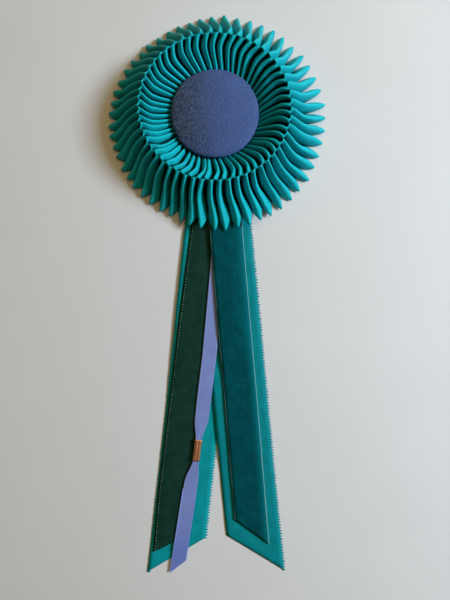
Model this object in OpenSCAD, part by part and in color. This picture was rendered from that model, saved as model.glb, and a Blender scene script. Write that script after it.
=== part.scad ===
// Ribbon rosette, lying face up on the plane z = 0. The origin is under the middle of the button,
// +Y points to the top of the rosette and the ribbon tails run down along -Y.

/* [Frill] */
// Number of petals round the frill
petals = 55; // [50:1:56]
// Radius of the circle through the petal tips
tip_r = 71; // [69:0.5:74]
// Radius of the thin ridge where each petal turns over into the funnel
ridge_r = 45.7; // [45:0.1:47]
// Height of the ridge above the resting plane
ridge_z = 28.3; // [27:0.1:30]
// Radius of the hole at the bottom of the funnel
hole_r = 25.5; // [25:0.5:26.5]
// Thickness of the pleated ribbon's wall
frill_wall = 1; // [0.9:0.05:1]
// Swing of the petal tips' angles, because the ring was closed by hand, in degrees
swing = 3.9; // [0:0.1:4]
// Swing of the pleats' angles along the ridge, in degrees
ridge_swing = 2.1; // [0:0.1:2.2]
// How far the ring is stretched along X and pressed in along Y
oval = 0.9; // [0:0.1:1]
// How far the tips' circle lies off the ridge's circle, along X
rim_shift = 1; // [0:0.1:1.5]

/* [Button] */
// Radius of the covered button
button_r = 28; // [27.5:0.1:29]
// Height of the button's widest line above the resting plane
button_edge_z = 17; // [16.5:0.1:18]
// Height of the button's dome above its widest line
button_dome = 6.4; // [3:0.1:9]

/* [Ribbons] */
// Wall of every ribbon
ribbon_wall = 1; // [0.8:0.05:1]
// Width of the two wide tails
tail_w = 35.6; // [34:0.2:37]
// Width of the dark green ribbon
green_w = 23; // [20:0.5:24]
// Width of the velvet ribbon
velvet_w = 21; // [19:0.5:22]
// Width of the lavender ribbon
lavender_w = 9.4; // [8:0.2:10]
// Clear gap between two ribbons that lie on each other
layer_gap = 0.2; // [0.2:0.05:0.25]

/* [Crimp] */
// Length of the copper crimp
crimp_l = 14; // [12:0.5:15]
// Width of the copper crimp
crimp_w = 4.8; // [4.6:0.1:5.2]
// Wall of the copper crimp
crimp_wall = 0.5; // [0.4:0.05:0.6]

/* [Pin back] */
// Radius of the round base plate behind the frill
plate_r = 26; // [24:0.5:28]
// Length of the bar pin between its two blocks
bar_l = 30; // [24:1:34]
// Diameter of the bar pin
bar_d = 1.4; // [1.2:0.1:1.5]

/* [Hidden] */

round_fn = 96;
seat_gap = 0.3;

// Frill: heights of the crest line's two ends, and the angles that place its petals
tip_z = 1.8;
seat_z = 11.8;
first_petal = 0.1;
swing_at = 105;
ridge_swing_at = 135;
pitch = 360 / petals;

// Frill: slot widths. Each petal has a flat crest and each slot a narrow floor, in mm
slot_half = 0.33;
funnel_slot_half = 0.2;
crest_inside_half = 0.1;
ridge_drop = 2;

// Rows of the frill's petals, from the tip to the ridge, with the columns
// reach (0 at the ridge, 1 at the tip), rise (0 at the tip, 1 at the ridge), depth of the slots,
// lean of that depth from upright, crest width as a share of the petal pitch, turn of the row
PETAL_ROWS = [[1.00, 0.00, 7.6, 86, 0.10, 3.5],
              [0.77, 0.19, 7.4, 66, 0.48, 2.6],
              [0.51, 0.46, 7.6, 50, 0.58, 0.9],
              [0.27, 0.74, 7.0, 36, 0.57, -0.4],
              [0.09, 0.95, 5.0, 0, 0.50, -0.3]];

// Rows of the funnel's pleats, from the ridge to the hole, with the same columns: reach and rise
// are 0 at the hole's end of the crest line and 1 at the ridge
FUNNEL_ROWS = [[0.89, 0.99, 4.0, -6, 0.52, 1.3],
               [0.70, 0.83, 6.0, -36, 0.60, 3.5],
               [0.38, 0.45, 5.5, -42, 0.64, 1.5],
               [0.00, 0.00, 3.2, -40, 0.68, -2.8]];

// The funnel's bottom row is turned more on one side than on the other, in degrees
hole_swing = 1.3;
hole_swing_at = 155;

// The petals are lifted where they pass over the tails: middle, flat half width and outer half
// width of the lift, in degrees, and its height at the tips
lift_at = 275;
lift_flat = 15;
lift_end = 30;
lift_h = 4 * (ribbon_wall + layer_gap) + ribbon_wall;

// Heights at which ribbons lie on each other, from 0 on the resting plane
function level(n) = n * (ribbon_wall + layer_gap);

function unit(v) = v / norm(v);
function turned_up(d) = [d[1], -d[0]];

// Crest line of the petals and of the funnel's pleats, as [radius, height]
function petal_crest(row) = [ridge_r + row[0] * (tip_r - ridge_r), tip_z + row[1] * (ridge_z - tip_z)];
function funnel_crest(row) = [hole_r + row[0] * (ridge_r - hole_r), seat_z + row[1] * (ridge_z - seat_z)];

OUTER = [for (row = PETAL_ROWS) petal_crest(row)];
INNER = [for (row = FUNNEL_ROWS) funnel_crest(row)];
RIDGE = [ridge_r, ridge_z];

// Floor of the slots: each crest point moved down by its row's depth, along its row's lean
function slot_floor(spot, row) = spot - row[2] * [sin(row[3]), cos(row[3])];
OUTER_FLOOR = [for (i = [0:len(OUTER) - 1]) slot_floor(OUTER[i], PETAL_ROWS[i])];
INNER_FLOOR = [for (i = [0:len(INNER) - 1]) slot_floor(INNER[i], FUNNEL_ROWS[i])];

// The frill has two kinds of column. A petal column is a crest outside the ridge and a slot floor
// inside it, and a gap column is the other way round
PETAL_LINE = concat(OUTER, [RIDGE], INNER_FLOOR);
GAP_LINE = concat(OUTER_FLOOR, [RIDGE], INNER);
row_count = len(PETAL_LINE);
ridge_row = len(OUTER);

// All rows, with the ridge between the two tables
RIDGE_ROW = [0, 1, 0, 0, 0.42, 0];
ROWS = concat(PETAL_ROWS, [RIDGE_ROW], FUNNEL_ROWS);

// A line moved down by its wall, square to itself, with the distance for each point in by. Below
// the ridge both kinds of column meet in one point, so the walls of the two sides never cross
function line_below(line, by) = [for (i = [0:len(line) - 1])
    let (before = turned_up(unit(line[i] - line[max(i - 1, 0)] + (i == 0 ? line[1] - line[0] : [0, 0]))),
         after = i == len(line) - 1 ? before : turned_up(unit(line[i + 1] - line[i])),
         up = unit(before + after))
    i == ridge_row ? RIDGE - [0, ridge_drop * by[i]] : line[i] - up * by[i] / max(up * before, 0.75)];

// Half widths of a row's crest and of its slot floor, in mm
function crest_half(i) = ROWS[i][4] * OUTSIDE_R[i] * PI / petals;
function floor_half(i) = i < ridge_row ? slot_half : i > ridge_row ? funnel_slot_half : crest_half(i);
OUTSIDE_R = [for (i = [0:row_count - 1]) i <= ridge_row ? PETAL_LINE[i][0] : GAP_LINE[i][0]];

// Steepness of the wall between crest and floor, and how far its underside moves sideways
function flank(i) = atan2(ROWS[i][2], max(OUTSIDE_R[i] * PI / petals - crest_half(i) - floor_half(i), 0.05));
function side_step(i) = frill_wall * tan(flank(i) / 2);
function crest_inside(i) = max(crest_half(i) - side_step(i), crest_inside_half);
function crest_drop(i) =
    max(frill_wall, frill_wall / cos(flank(i)) - (crest_half(i) - crest_inside_half) * tan(flank(i)));

PETAL_BELOW = line_below(PETAL_LINE, [for (i = [0:row_count - 1]) i < ridge_row ? crest_drop(i) : frill_wall]);
GAP_BELOW = line_below(GAP_LINE, [for (i = [0:row_count - 1]) i > ridge_row ? crest_drop(i) : frill_wall]);

// Turn of a row at the angle a, and the row's angle with its swing, which runs from the ridge's
// swing to the tips'
function row_turn(i, a) =
    ROWS[i][5] - (i > ridge_row ? (1 - ROWS[i][0]) * hole_swing * cos(a - hole_swing_at) : 0);
function swung(i, a) =
    let (tip_share = i < ridge_row ? ROWS[i][0] : 0, off = a - ridge_swing_at)
    a + tip_share * swing * cos(a - swing_at) + (1 - tip_share) * ridge_swing * (cos(off) + cos(2 * off));

// Height added over the tails at the angle a, for a row that rises to the share rise of the ridge
function step(x) = let (c = min(max(x, 0), 1)) c * c * (3 - 2 * c);
function off_lift(a) = abs((a - lift_at + 540) % 360 - 180);
function lift(i, a) =
    i < ridge_row ? lift_h * (1 - ROWS[i][1]) * step((lift_end - off_lift(a)) / (lift_end - lift_flat)) : 0;

// Share of the ring's stretch that a row has: all of it at the ridge, half at the tips, none at the hole
function row_oval(i) = i < ridge_row ? 1 - ROWS[i][0] / 2 : ROWS[i][i > ridge_row ? 0 : 1];

// One point of the frill: [radius, height] of its column, a petal or gap angle and a half width
function frill_point(i, spot, a, half) =
    let (turn = swung(i, a) + row_turn(i, a) + half / spot[0] * 180 / PI,
         r = spot[0] + oval * row_oval(i) * cos(2 * turn),
         shift = i < ridge_row ? rim_shift * ROWS[i][0] : 0)
    [r * cos(turn) + shift, r * sin(turn), spot[1] + lift(i, swung(i, a) + ROWS[i][5])];

// Points of a row: for each petal its two edges and then the two edges of the gap after it
function frill_row(i, petal_spot, gap_spot, petal_half, gap_half) = [
    for (k = [0:petals - 1], side = [0:3])
        let (a = first_petal + k * pitch + (side < 2 ? 0 : pitch / 2),
             half = (side % 2 == 0 ? -1 : 1) * (side < 2 ? petal_half : gap_half))
        frill_point(i, side < 2 ? petal_spot : gap_spot, a, half)];

function top_row(i) = frill_row(i, PETAL_LINE[i], GAP_LINE[i],
    i <= ridge_row ? crest_half(i) : floor_half(i), i >= ridge_row ? crest_half(i) : floor_half(i));
function below_row(i) = frill_row(i, PETAL_BELOW[i], GAP_BELOW[i],
    i < ridge_row ? crest_inside(i) : i > ridge_row ? floor_half(i) + side_step(i) : crest_half(i),
    i > ridge_row ? crest_inside(i) : i < ridge_row ? floor_half(i) + side_step(i) : crest_half(i));

// Faces of a wall that closes round a ring: rows of cols points, the top layer and then the lower
function ring_wall_faces(rows, cols) =
    let (low = rows * cols, last = (rows - 1) * cols)
    [for (j = [0:cols - 1]) let (k = (j + 1) % cols) each concat(
        [for (i = [0:rows - 2]) let (a = i * cols + j, b = i * cols + k, c = b + cols, d = a + cols)
            each [[a, c, b], [a, d, c], [low + a, low + b, low + c], [low + a, low + c, low + d]]],
        [[j, k, low + k], [j, low + k, low + j]],
        [[last + j, low + last + k, last + k], [last + j, low + last + j, low + last + k]])];

module pleated_frill() {
    tops = [for (i = [0:row_count - 1]) each top_row(i)];
    undersides = [for (i = [0:row_count - 1]) each below_row(i)];
    color([0.05, 0.62, 0.66])
    polyhedron(concat(tops, undersides), ring_wall_faces(row_count, 4 * petals));
}

// Button: a dome over a seat that slopes with the funnel, with a plain post behind it
button_seat_r = 24.5;
button_seat_z = 11.25;
post_r = 8;

module covered_button() {
    dome_r = (button_r * button_r + button_dome * button_dome) / (2 * button_dome);
    under_edge = 2.5;
    color([0.27, 0.33, 0.5]) {
        rotate_extrude($fn = round_fn)
        difference() {
            union() {
                polygon([[0, button_seat_z], [button_seat_r, button_seat_z],
                         [button_r - 0.3, button_edge_z - under_edge], [button_r, button_edge_z],
                         [0, button_edge_z]]);
                intersection() {
                    translate([0, button_edge_z + button_dome - dome_r]) circle(dome_r, $fn = 360);
                    translate([0, button_edge_z - 0.01]) square([button_r, button_dome + 1]);
                }
            }
            translate([-2 * button_r, 0]) square([2 * button_r, 4 * button_edge_z]);
        }
        translate([0, 0, plate_top + seat_gap])
        cylinder(r = post_r, h = button_seat_z - plate_top - seat_gap + 0.1, $fn = round_fn);
    }
}

// Ribbons: centre line tables with the columns y, x and width, and lie tables with the columns
// y and height of the underside. The end is cut on a slope between its two corners' drops
plate_top = 5.7;
on_plate = plate_top + layer_gap;

LEFT_LINE = [[-10, 4.4], [-70, -2.0], [-184, -14.4], [-288, -26]];
LEFT_LIE = [[-10, on_plate], [-27, on_plate], [-48, 0], [-310, 0]];
LEFT_DROPS = [11.5, -11];

RIGHT_LINE = [[-10, 1.2], [-66, 5.3], [-90, 7.3], [-116, 10.1], [-184, 16.3], [-255, 23.2], [-288, 26.7]];
RIGHT_LIE = [[-10, on_plate + level(1)], [-27, on_plate + level(1)], [-48, level(1)],
             [-211, level(1)], [-230, 0], [-310, 0]];
RIGHT_DROPS = [-11.5, 11.5];

GREEN_LINE = [[-50, -3.2], [-66, -5.1], [-184, -19.5], [-250, -27.5], [-279, -29.8]];
GREEN_LIE = [[-50, level(2)], [-165, level(2)], [-192, level(1)], [-310, level(1)]];
GREEN_DROPS = [6.7, -8.1];

VELVET_LINE = [[-50, 5.4], [-70, 7.0], [-107, 10.1], [-141, 13.0], [-184, 16.9], [-274, 24.2]];
VELVET_LIE = [[-50, level(4)], [-142, level(4)], [-166, level(2)], [-211, level(2)],
              [-230, level(1)], [-310, level(1)]];
VELVET_DROPS = [-8, 8];

crimp_top = [-11.1, -210.4];
crimp_turn = 7;
crimp_foot = crimp_top - crimp_l * [sin(crimp_turn), cos(crimp_turn)];
neck_room = 0.2;
neck_end = [sin(crimp_turn), cos(crimp_turn)];
neck_top = crimp_top + neck_end;
neck_foot = crimp_foot - neck_end;
neck_w = crimp_w - 2 * (crimp_wall + neck_room);
neck_lie = level(2) + crimp_wall + neck_room;
LAVENDER_LINE = [[-52, 5.3, lavender_w], [-90, 1.9, lavender_w], [-155, -4, lavender_w],
                 [-184, -7.6, lavender_w], [-200, -9.5, lavender_w * 0.95],
                 [neck_top[1], neck_top[0], neck_w],
                 [neck_foot[1], neck_foot[0], neck_w],
                 [-236, -15.8, lavender_w * 0.94], [-252, -18.1, lavender_w],
                 [-295.5, -24.9, lavender_w]];
LAVENDER_LIE = [[-52, level(3)], [-165, level(3)], [-192, level(2)], [-202, level(2)],
                [neck_top[1], neck_lie], [neck_foot[1], neck_lie], [-238, level(2)],
                [-278, level(2)], [-291, level(1) + 0.1], [-310, 0.6]];
LAVENDER_DROPS = [4.2, -4.2];

// Outline of a ribbon seen from above: down its left edge and back up its right one
function ribbon_slope(line, i) =
    let (a = line[max(i - 1, 0)], b = line[min(i + 1, len(line) - 1)]) (b[1] - a[1]) / (b[0] - a[0]);
function ribbon_half(line, i, width) =
    (len(line[i]) > 2 ? line[i][2] : width) / 2 * sqrt(1 + pow(ribbon_slope(line, i), 2));
function ribbon_edge(line, width, side, drop) =
    let (last = len(line) - 1)
    [for (i = [0:last])
        let (half = side * ribbon_half(line, i, width), down = i == last ? drop : 0)
        [line[i][1] + half - down * ribbon_slope(line, i), line[i][0] - down]];
function reversed(list) = [for (i = [len(list) - 1:-1:0]) list[i]];

module ribbon(line, lie, width, drops) {
    tall = level(6) + plate_top;
    intersection() {
        linear_extrude(tall)
        polygon(concat(ribbon_edge(line, width, -1, drops[0]),
                       reversed(ribbon_edge(line, width, 1, drops[1]))));
        rotate([90, 0, 90])
        linear_extrude(4 * tail_w, center = true)
        polygon(concat([for (p = lie) p], [for (p = reversed(lie)) p + [0, ribbon_wall]]));
    }
}

module left_tail() {
    color([0.02, 0.51, 0.54]) ribbon(LEFT_LINE, LEFT_LIE, tail_w, LEFT_DROPS);
}

module right_tail() {
    color([0.03, 0.53, 0.55]) ribbon(RIGHT_LINE, RIGHT_LIE, tail_w, RIGHT_DROPS);
}

module green_ribbon() {
    color([0.06, 0.24, 0.18]) ribbon(GREEN_LINE, GREEN_LIE, green_w, GREEN_DROPS);
}

module velvet_ribbon() {
    color([0.0, 0.3, 0.34]) ribbon(VELVET_LINE, VELVET_LIE, velvet_w, VELVET_DROPS);
}

module lavender_ribbon() {
    color([0.47, 0.51, 0.75]) ribbon(LAVENDER_LINE, LAVENDER_LIE, lavender_w, LAVENDER_DROPS);
}

// Crimp: a flattened copper tube pressed round the neck of the lavender ribbon
module copper_crimp() {
    high = ribbon_wall + 2 * (crimp_wall + neck_room);
    corner = 0.8;
    color([0.66, 0.4, 0.27])
    translate([crimp_top[0], crimp_top[1], level(2) + high / 2])
    rotate([0, 0, -crimp_turn])
    rotate([90, 0, 0])
    linear_extrude(crimp_l)
    difference() {
        rounded_rectangle(crimp_w, high, corner);
        rounded_rectangle(crimp_w - 2 * crimp_wall, high - 2 * crimp_wall, corner - crimp_wall);
    }
}

module rounded_rectangle(w, h, r) {
    square([w - 2 * r, h], center = true);
    square([w, h - 2 * r], center = true);
    for (x = [-1, 1], y = [-1, 1]) translate([x * (w / 2 - r), y * (h / 2 - r)]) circle(r, $fn = 32);
}

// Pin back: a round base plate with two blocks and a straight bar between them, in one piece
plate_wall = 1.2;
bar_y = 12;
bar_z = 1.6;
block = [3, 3];

module pin_back() {
    back_z = plate_top - plate_wall;
    color([0.75, 0.75, 0.77]) {
        translate([0, 0, back_z]) cylinder(r = plate_r, h = plate_wall, $fn = round_fn);
        translate([0, bar_y, bar_z])
        rotate([0, 90, 0])
        cylinder(d = bar_d, h = bar_l + block[0], center = true, $fn = 32);
        for (side = [-1, 1])
            translate([side * (bar_l + block[0]) / 2, bar_y, (bar_z - bar_d / 2 + back_z) / 2])
            cube([block[0], block[1], back_z - bar_z + bar_d / 2 + 0.02], center = true);
    }
}

pleated_frill();
covered_button();
left_tail();
right_tail();
green_ribbon();
velvet_ribbon();
lavender_ribbon();
copper_crimp();
pin_back();
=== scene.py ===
import math

import bpy
import numpy as np
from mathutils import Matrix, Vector


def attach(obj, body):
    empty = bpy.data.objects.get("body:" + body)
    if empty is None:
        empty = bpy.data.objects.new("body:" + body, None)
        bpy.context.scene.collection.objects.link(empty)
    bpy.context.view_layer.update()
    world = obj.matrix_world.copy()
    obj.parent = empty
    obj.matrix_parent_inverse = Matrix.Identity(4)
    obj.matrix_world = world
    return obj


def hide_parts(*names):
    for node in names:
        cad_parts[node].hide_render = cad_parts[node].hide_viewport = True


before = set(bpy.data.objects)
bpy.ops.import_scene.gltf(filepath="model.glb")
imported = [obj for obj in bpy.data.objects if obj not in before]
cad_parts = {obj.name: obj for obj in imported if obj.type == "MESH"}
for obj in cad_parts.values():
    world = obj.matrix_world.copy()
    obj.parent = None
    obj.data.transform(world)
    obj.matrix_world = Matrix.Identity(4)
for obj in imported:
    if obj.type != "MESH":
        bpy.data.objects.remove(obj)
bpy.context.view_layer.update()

bl_info = {
    "name": "Ribbon rosette",
    "version": (1, 0, 0),
    "blender": (4, 5, 0),
    "location": "View3D > Sidebar > Rosette",
    "description": "Pleated ribbon rosette with a covered button, five ribbons and a copper crimp",
    "category": "Object",
}

MM = 0.001
FULL_TURN = 2 * math.pi

# Frill, outside of the ridge. Columns: share of the way from ridge to tip, crest radius and height,
# radius and height of the slot's floor (mm), turn of the crest (degrees), lean of the crest as a
# share of the pitch, half width of the arch as a share of the pitch, and the arch's two roundings
PETAL_ROWS = [
    (0.00, 45.95, 28.3, 45.45, 28.1, 0.0, 0.00, 0.48, 1.6, 1.0),
    (0.04, 46.9, 27.9, 46.0, 23.5, -0.1, 0.08, 0.37, 1.8, 0.85),
    (0.14, 49.4, 25.6, 46.6, 17.5, -0.4, 0.09, 0.37, 2.1, 0.7),
    (0.27, 52.7, 21.6, 48.0, 12.2, -0.5, 0.08, 0.385, 2.2, 0.63),
    (0.44, 57.0, 16.3, 50.8, 7.2, 0.2, 0.06, 0.415, 2.3, 0.6),
    (0.61, 61.2, 11.2, 54.4, 3.8, 1.6, 0.04, 0.45, 2.3, 0.6),
    (0.77, 65.2, 7.0, 58.4, 1.8, 2.7, 0.02, 0.475, 2.3, 0.62),
    (0.89, 68.2, 4.3, 61.2, 1.2, 3.3, 0.01, 0.486, 2.2, 0.68),
    (0.97, 70.4, 2.5, 62.7, 0.8, 3.5, 0.0, 0.486, 2.0, 0.77),
    (1.00, 71.2, 1.7, 63.2, 0.5, 3.5, 0.0, 0.486, 1.9, 0.82),
]

# Frill, from the ridge down into the funnel, with the same columns: here the crest stands where the
# slot is on the outside
FUNNEL_ROWS = [
    (0.00, 45.45, 28.1, 45.95, 28.3, 0.0, 0.00, 0.48, 1.6, 1.0),
    (0.04, 44.6, 28.3, 45.6, 24.8, 0.4, -0.12, 0.40, 1.8, 0.9),
    (0.12, 43.2, 27.9, 45.0, 21.6, 1.5, -0.15, 0.41, 2.2, 0.8),
    (0.22, 41.2, 26.6, 43.9, 19.3, 2.9, -0.15, 0.42, 2.4, 0.75),
    (0.36, 38.6, 24.5, 41.9, 17.2, 3.8, -0.13, 0.43, 2.5, 0.72),
    (0.52, 35.3, 21.4, 38.8, 14.8, 3.0, -0.10, 0.44, 2.5, 0.72),
    (0.68, 32.0, 18.0, 35.2, 12.5, 1.2, -0.06, 0.45, 2.5, 0.72),
    (0.84, 28.8, 14.8, 31.4, 10.4, -0.8, -0.02, 0.465, 2.4, 0.72),
    (1.00, 25.5, 11.6, 27.6, 9.0, -3.0, 0.0, 0.475, 2.3, 0.72),
]

RIDGE_TOP = 28.3  # height of the ridge, mm
PETAL_FALL = 26.5  # fall of the petals from the ridge to the tips, mm
WIDEST_ARCH = 0.486  # half width of the widest arch, as a share of the pitch
PLEAT_ANGLE = 0.114  # angle of one pleat, in radians
WEAVE_PER_PLEAT = 0.0213  # step of the weave from one pleat to the next, m
ROW_SPACING = 1.25  # over 1, the rows of points in a pleat stand closer near the ridge
RIBBONS_AT = 275  # direction in which the ribbons hang, degrees

# How far single petals, slots and bends turn off the rule at most, in degrees; how far tips reach
# past it, and crests and slots rise off it, in metres
PETAL_TURN, SLOT_TURN, BEND_TURN = 0.85, 0.7, 1.7
TIP_OFF, CREST_OFF, SLOT_OFF = 0.0007, 0.0006, 0.0003

# How far the notches between the petals lie off their mean circle, mm, by angle in degrees
NOTCH_REACH = [(0, -4.8), (25, -4.8), (45, -4.2), (70, -2.6), (90, -1.2), (110, 0.8), (140, 1.8),
               (200, 2.4), (235, 1.6), (265, 0.0), (290, -0.8), (315, -0.8), (335, -1.8),
               (350, -3.4), (360, -4.8)]

# How far the tips reach past the mean circle, mm, by angle in degrees
TIP_REACH = [(0, 0.8), (40, 1.0), (75, 0.9), (100, -0.6), (125, -1.7), (148, -0.4), (170, 0.7),
             (195, 0.4), (215, -0.4), (240, -0.2), (258, 1.2), (275, 2.0), (300, 1.8), (335, 0.7),
             (360, 0.8)]
REACH_SPAN = 12  # whole range of both tables' curves, mm, with 0 in its middle


# ---- Settings

def a_length(label, text, metres):
    return bpy.props.FloatProperty(name=label, description=text, default=metres, unit="LENGTH")


def an_angle(label, text, degrees):
    return bpy.props.FloatProperty(name=label, description=text, default=math.radians(degrees),
                                   subtype="ANGLE")


def a_power(label, text, watts):
    return bpy.props.FloatProperty(name=label, description=text, default=watts, unit="POWER")


def a_colour(label, text, rgb):
    return bpy.props.FloatVectorProperty(name=label, description=text, default=rgb, subtype="COLOR",
                                         size=3, min=0, max=1)


class FrillSettings(bpy.types.PropertyGroup):
    petals: bpy.props.IntProperty(name="Petals", description="Petals round the frill", default=55,
                                  min=20, max=80)
    wall: a_length("Ribbon thickness", "Thickness of the pleated ribbon", 0.00035)
    first_petal: an_angle("First petal", "Angle of the first petal", 0.1)
    swing: an_angle("Tip swing", "Swing of the tips' angles round the ring", 3.9)
    ridge_swing: an_angle("Ridge swing", "Swing of the pleats along the ridge", 2.1)
    uneven: bpy.props.FloatProperty(name="Unevenness", default=1.0, min=0, max=2,
                                    description="How much petals differ from each other")
    seed: bpy.props.IntProperty(name="Seed", description="Seed of the petals' differences", default=7)
    colour: a_colour("Colour", "Colour of the pleated ribbon", (0.009, 0.535, 0.61))


class ButtonSettings(bpy.types.PropertyGroup):
    radius: a_length("Radius", "Radius of the covered button", 0.028)
    edge_height: a_length("Edge height", "Height of the button's widest line", 0.017)
    dome: a_length("Dome", "Height of the dome above the widest line", 0.0064)
    colour: a_colour("Colour", "Colour of the button's cloth", (0.065, 0.107, 0.275))


class RibbonSettings(bpy.types.PropertyGroup):
    thickness: a_length("Thickness", "Thickness of each ribbon", 0.0006)
    tail_width: a_length("Tail width", "Width of the two wide tails", 0.0356)
    green_width: a_length("Green width", "Width of the dark green ribbon", 0.023)
    velvet_width: a_length("Velvet width", "Width of the velvet ribbon", 0.021)
    lavender_width: a_length("Lavender width", "Width of the lavender ribbon", 0.0094)
    picot_pitch: a_length("Picot pitch", "Distance between edge loops", 0.00187)
    teal: a_colour("Teal", "Colour of the wide tails", (0.002, 0.26, 0.295))
    green: a_colour("Dark green", "Colour of the green ribbon", (0.008, 0.045, 0.032))
    velvet: a_colour("Velvet", "Colour of the velvet ribbon", (0.0008, 0.063, 0.076))
    lavender: a_colour("Lavender", "Colour of the satin ribbon", (0.2, 0.255, 0.58))


class CrimpSettings(bpy.types.PropertyGroup):
    length: a_length("Length", "Length of the crimp", 0.014)
    width: a_length("Width", "Width of the crimp", 0.0048)
    colour: a_colour("Colour", "Colour of the copper", (0.78, 0.36, 0.2))


class StageSettings(bpy.types.PropertyGroup):
    camera_height: a_length("Camera height", "Height of the camera above the floor", 0.302)
    lens: bpy.props.FloatProperty(name="Lens", description="Focal length in mm", default=27.04)
    key: a_power("Key light", "Power of the soft light on the right", 14.2)
    key_elevation: an_angle("Key elevation", "Height angle of the key light", 38.5)
    overhead: a_power("Overhead light", "Power of the warm light from above", 6.4)
    fill: bpy.props.FloatProperty(name="Fill", description="Strength of the light from all round",
                                  default=0.1)
    floor: a_colour("Floor", "Colour of the floor", (0.718, 0.693, 0.694))


# ---- Meshes

def clamp(value):
    """The value, kept between 0 and 1."""
    return min(max(value, 0), 1)


def smooth_rows(rows, shares):
    """Rows of a table (the first column is the share) at other shares, along smooth monotone curves."""
    table = np.array(rows, float)
    x, y = table[:, 0], table[:, 1:]
    slope = np.diff(y, axis=0) / np.diff(x)[:, None]
    tangent = np.zeros_like(y)
    tangent[0], tangent[-1] = slope[0], slope[-1]
    for i in range(1, len(x) - 1):
        same = slope[i - 1] * slope[i] > 0
        mean = 2 / (1 / np.where(same, slope[i - 1], 1) + 1 / np.where(same, slope[i], 1))
        tangent[i] = np.where(same, mean, 0)
    out = []
    for share in shares:
        i = min(max(int(np.searchsorted(x, share)) - 1, 0), len(x) - 2)
        h = x[i + 1] - x[i]
        u = (share - x[i]) / h
        out.append((2 * u**3 - 3 * u**2 + 1) * y[i] + (u**3 - 2 * u**2 + u) * h * tangent[i]
                   + (3 * u**2 - 2 * u**3) * y[i + 1] + (u**3 - u**2) * h * tangent[i + 1])
    return np.array(out)


def grid_faces(rows, columns, flip=False):
    """Quads between rows of points; flip turns their fronts to the other side."""
    wide = columns + 1
    corners = (0, wide, wide + 1, 1) if flip else (0, 1, wide + 1, wide)
    return [tuple(i * wide + j + corner for corner in corners)
            for i in range(rows) for j in range(columns)]


def new_object(name, data):
    """A new object in the scene for a mesh, lamp or camera."""
    made = bpy.data.objects.new(name, data)
    bpy.context.scene.collection.objects.link(made)
    return made


def mesh_object(name, points, faces, weave=None):
    """A smooth-shaded mesh object; weave gives each point's place on the flat cloth, in metres."""
    mesh = bpy.data.meshes.new(name)
    mesh.from_pydata([tuple(p) for p in points], [], faces)
    if weave is not None:
        layer = mesh.uv_layers.new(name="weave")
        corner_points = np.empty(len(mesh.loops), int)
        mesh.loops.foreach_get("vertex_index", corner_points)
        layer.data.foreach_set("uv", np.array(weave, float)[corner_points].ravel())
    mesh.polygons.foreach_set("use_smooth", [True] * len(mesh.polygons))
    mesh.update()
    return new_object(name, mesh)


def edge_line(points):
    """An edge line as a mesh of edges only, for a tree to follow."""
    mesh = bpy.data.meshes.new("edge")
    mesh.from_pydata([tuple(p) for p in points], [(i, i + 1) for i in range(len(points) - 1)], [])
    return new_object("edge", mesh)


def evaluated_mesh(piece):
    """The piece's mesh with its modifiers applied."""
    graph = bpy.context.evaluated_depsgraph_get()
    return bpy.data.meshes.new_from_object(piece.evaluated_get(graph), depsgraph=graph)


def run_tree(target, tree, values, name):
    """Runs a Geometry Nodes tree on an object and keeps the result as a plain mesh object."""
    modifier = target.modifiers.new("Pattern", "NODES")
    modifier.node_group = tree
    ids = {item.name: item.identifier for item in tree.interface.items_tree if item.in_out == "INPUT"}
    for key, value in values.items():
        modifier[ids[key]] = value
    mesh = evaluated_mesh(target)
    mesh.name = name
    bpy.data.objects.remove(target)
    return new_object(name, mesh)


def thicken(piece, wall, offset=-1.0):
    """Gives a sheet its wall: behind its faces at offset -1, on both sides alike at 0."""
    shell = piece.modifiers.new("Thickness", "SOLIDIFY")
    shell.thickness = wall
    shell.offset = offset
    shell.use_even_offset = False


def dress(piece, node, material=None):
    """Rides the piece on the rosette, hides the solid that it stands for, and gives it the material, if
    there is one.
    """
    if material:
        piece.data.materials.clear()
        piece.data.materials.append(material)
    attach(piece, "root")
    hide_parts(node)
    return piece


# ---- Node trees

class Signal:
    """What a node puts out. Arithmetic with it adds Math nodes, and [] is another of the node's outputs."""

    def __init__(self, socket):
        self.socket, self.tree = socket, socket.id_data

    def __getitem__(self, key):
        return Signal(self.socket.node.outputs[key])

    def maths(self, operation, *others):
        return maths(operation, self, *others)

    def __add__(self, other):
        return maths("ADD", self, other)

    def __sub__(self, other):
        return maths("SUBTRACT", self, other)

    def __rsub__(self, other):
        return maths("SUBTRACT", other, self)

    def __mul__(self, other):
        return maths("MULTIPLY", self, other)

    def __truediv__(self, other):
        return maths("DIVIDE", self, other)

    def __rtruediv__(self, other):
        return maths("DIVIDE", other, self)

    def __pow__(self, other):
        return maths("POWER", self, other)


def feed(socket, value):
    """Links a signal to a socket, or sets the socket to a plain value; a colour gets its alpha."""
    if isinstance(value, Signal):
        value.tree.links.new(value.socket, socket)
    else:
        socket.default_value = (*value, 1.0) if socket.type == "RGBA" and len(value) == 3 else value


def add(tree, kind, values=None, **settings):
    """Adds a node with its settings, feeds its inputs by name or number, and gives its first output."""
    node = tree.nodes.new(kind)
    for key, value in settings.items():
        setattr(node, key, value)
    for key, value in (values or {}).items():
        feed(node.inputs[key], value)
    return Signal(node.outputs[0])


def maths(operation, *values):
    """A Math node on signals and plain numbers, in the signals' tree."""
    tree = next(value.tree for value in values if isinstance(value, Signal))
    return add(tree, "ShaderNodeMath", dict(enumerate(values)), operation=operation)


def ramp(value, start, end, low=0.0, high=1.0, soft=False):
    """low where the value is at start, high where it is at end, and between them a line or a soft step."""
    return add(value.tree, "ShaderNodeMapRange",
               {"Value": value, "From Min": start, "From Max": end, "To Min": low, "To Max": high},
               interpolation_type="SMOOTHSTEP" if soft else "LINEAR")


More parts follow.
